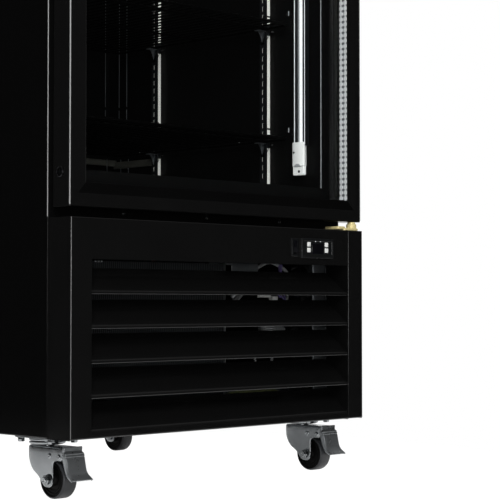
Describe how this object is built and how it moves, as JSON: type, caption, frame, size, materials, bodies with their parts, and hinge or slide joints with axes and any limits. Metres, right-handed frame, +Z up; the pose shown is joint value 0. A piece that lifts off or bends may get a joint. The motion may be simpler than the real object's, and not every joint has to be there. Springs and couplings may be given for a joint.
{
  "type": "refrigerated display case",
  "caption": "Upright glass door merchandiser fridge with a louvred base, wire shelves and swivel casters.",
  "frame": {"origin": "on the floor under the middle of the whole object's box", "axes": "+Z up, the longest way; the glass door faces -Y"},
  "size_m": [0.6885, 0.758, 2.085],
  "materials": {
    "black_steel": "satin black powder coat",
    "black_liner": "black coated liner",
    "black_plastic": "moulded black plastic",
    "white_plastic": "moulded white plastic",
    "grey_plastic": "moulded grey plastic",
    "foam": "rigid foam, hidden",
    "zinc": "bright zinc plate",
    "yellow_zinc": "yellow zinc plate",
    "aluminium": "mill aluminium",
    "copper": "bare copper tube",
    "glass": "clear toughened glass",
    "rubber": "black gasket rubber",
    "wheel": "black wheel rubber"
  },
  "bodies": {
    "cabinet": {"outer_case": "black_steel", "inner_liner": "black_liner", "insulation": "foam", "header_panel": "black_steel", "louvre_panel": "black_steel", "hinge_side_stile": "black_steel", "base_floor": "zinc", "rear_grille": "black_steel", "controller_case": "black_plastic", "switch_frame": "black_plastic", "bottom_hinge_bracket": "yellow_zinc", "top_hinge_bracket": "yellow_zinc", "lamp_channel": "white_plastic", "lamp_cover": "white_plastic", "rear_duct_panel": "black_liner", "evaporator_housing": "white_plastic", "evaporator_coil": "aluminium", "condenser_coil": "aluminium", "condenser_shroud": "black_steel", "compressor": "black_steel", "discharge_line": "copper", "suction_line": "copper", "electrical_box": "grey_plastic", "condensate_pan": "black_plastic", "pilaster_front_left": "aluminium", "pilaster_front_right": "aluminium", "pilaster_rear_left": "aluminium", "pilaster_rear_right": "aluminium", "caster_plate_front_left": "zinc", "caster_plate_front_right": "zinc", "caster_plate_rear_left": "zinc", "caster_plate_rear_right": "zinc"},
    "door": {"door_frame": "black_steel", "outer_pane": "glass", "inner_pane": "glass", "glass_spacer": "aluminium", "door_gasket": "rubber", "door_handle": "black_plastic"},
    "lock": {"lock_plug": "zinc"},
    "shelf_1": {"wire_shelf_1": "black_steel"},
    "shelf_2": {"wire_shelf_2": "black_steel"},
    "shelf_3": {"wire_shelf_3": "black_steel"},
    "shelf_4": {"wire_shelf_4": "black_steel"},
    "key_1": {"controller_key_1": "white_plastic"},
    "key_2": {"controller_key_2": "white_plastic"},
    "key_3": {"controller_key_3": "white_plastic"},
    "key_4": {"controller_key_4": "white_plastic"},
    "rocker": {"switch_rocker": "black_plastic"},
    "condenser_fan": {"condenser_fan": "aluminium"},
    "evaporator_fan": {"evaporator_fan": "black_plastic"},
    "fork_front_left": {"caster_fork_front_left": "zinc"},
    "wheel_front_left": {"caster_wheel_front_left": "wheel"},
    "fork_front_right": {"caster_fork_front_right": "zinc"},
    "wheel_front_right": {"caster_wheel_front_right": "wheel"},
    "fork_rear_left": {"caster_fork_rear_left": "zinc"},
    "wheel_rear_left": {"caster_wheel_rear_left": "wheel"},
    "fork_rear_right": {"caster_fork_rear_right": "zinc"},
    "wheel_rear_right": {"caster_wheel_rear_right": "wheel"},
    "pedal_left": {"brake_pedal_left": "zinc"},
    "pedal_right": {"brake_pedal_right": "zinc"}
  },
  "joints": [
    {"name": "door_hinge", "type": "hinge", "parent": "cabinet", "child": "door", "pos_m": [0.327, -0.324, 0.456], "axis": [0, 0, 1], "range_deg": [0, 115], "stiffness_Nm_per_rad": 1.5, "springref_deg": -17.19},
    {"name": "lock_turn", "type": "hinge", "parent": "door", "child": "lock", "pos_m": [-0.343, -0.31, 0.51], "axis": [1, 0, 0], "range_deg": [0, 90]},
    {"name": "shelf_1_lift", "type": "slide", "parent": "cabinet", "child": "shelf_1", "axis": [0, 0, 1], "range_m": [0, 0.02]},
    {"name": "shelf_2_lift", "type": "slide", "parent": "cabinet", "child": "shelf_2", "axis": [0, 0, 1], "range_m": [0, 0.02]},
    {"name": "shelf_3_lift", "type": "slide", "parent": "cabinet", "child": "shelf_3", "axis": [0, 0, 1], "range_m": [0, 0.02]},
    {"name": "shelf_4_lift", "type": "slide", "parent": "cabinet", "child": "shelf_4", "axis": [0, 0, 1], "range_m": [0, 0.02]},
    {"name": "key_1_press", "type": "slide", "parent": "cabinet", "child": "key_1", "axis": [0, 1, 0], "range_m": [0, 0.001], "stiffness_N_per_m": 600, "springref_m": -0.0005},
    {"name": "key_2_press", "type": "slide", "parent": "cabinet", "child": "key_2", "axis": [0, 1, 0], "range_m": [0, 0.001], "stiffness_N_per_m": 600, "springref_m": -0.0005},
    {"name": "key_3_press", "type": "slide", "parent": "cabinet", "child": "key_3", "axis": [0, 1, 0], "range_m": [0, 0.001], "stiffness_N_per_m": 600, "springref_m": -0.0005},
    {"name": "key_4_press", "type": "slide", "parent": "cabinet", "child": "key_4", "axis": [0, 1, 0], "range_m": [0, 0.001], "stiffness_N_per_m": 600, "springref_m": -0.0005},
    {"name": "rocker_tip", "type": "hinge", "parent": "cabinet", "child": "rocker", "pos_m": [0.1593, -0.334, 0.4055], "axis": [1, 0, 0], "range_deg": [0, 16]},
    {"name": "condenser_fan_spin", "type": "hinge", "parent": "cabinet", "child": "condenser_fan", "pos_m": [-0.108, -0.165, 0.2443], "axis": [0, 1, 0], "continuous": true},
    {"name": "evaporator_fan_spin", "type": "hinge", "parent": "cabinet", "child": "evaporator_fan", "pos_m": [0, 0.088, 1.92], "axis": [0, 0, 1], "continuous": true},
    {"name": "swivel_front_left", "type": "hinge", "parent": "cabinet", "child": "fork_front_left", "pos_m": [-0.3, -0.227, 0.084], "axis": [0, 0, 1], "continuous": true},
    {"name": "roll_front_left", "type": "hinge", "parent": "fork_front_left", "child": "wheel_front_left", "pos_m": [-0.3, -0.255, 0.031], "axis": [1, 0, 0], "continuous": true},
    {"name": "swivel_front_right", "type": "hinge", "parent": "cabinet", "child": "fork_front_right", "pos_m": [0.3, -0.227, 0.084], "axis": [0, 0, 1], "continuous": true},
    {"name": "roll_front_right", "type": "hinge", "parent": "fork_front_right", "child": "wheel_front_right", "pos_m": [0.3, -0.255, 0.031], "axis": [1, 0, 0], "continuous": true},
    {"name": "swivel_rear_left", "type": "hinge", "parent": "cabinet", "child": "fork_rear_left", "pos_m": [-0.3, 0.323, 0.084], "axis": [0, 0, 1], "continuous": true},
    {"name": "roll_rear_left", "type": "hinge", "parent": "fork_rear_left", "child": "wheel_rear_left", "pos_m": [-0.3, 0.295, 0.031], "axis": [1, 0, 0], "continuous": true},
    {"name": "swivel_rear_right", "type": "hinge", "parent": "cabinet", "child": "fork_rear_right", "pos_m": [0.3, 0.323, 0.084], "axis": [0, 0, 1], "continuous": true},
    {"name": "roll_rear_right", "type": "hinge", "parent": "fork_rear_right", "child": "wheel_rear_right", "pos_m": [0.3, 0.295, 0.031], "axis": [1, 0, 0], "continuous": true},
    {"name": "brake_left", "type": "hinge", "parent": "fork_front_left", "child": "pedal_left", "pos_m": [-0.3, -0.277, 0.068], "axis": [1, 0, 0], "range_deg": [0, 8]},
    {"name": "brake_right", "type": "hinge", "parent": "fork_front_right", "child": "pedal_right", "pos_m": [0.3, -0.277, 0.068], "axis": [1, 0, 0], "range_deg": [0, 8]}
  ]
}
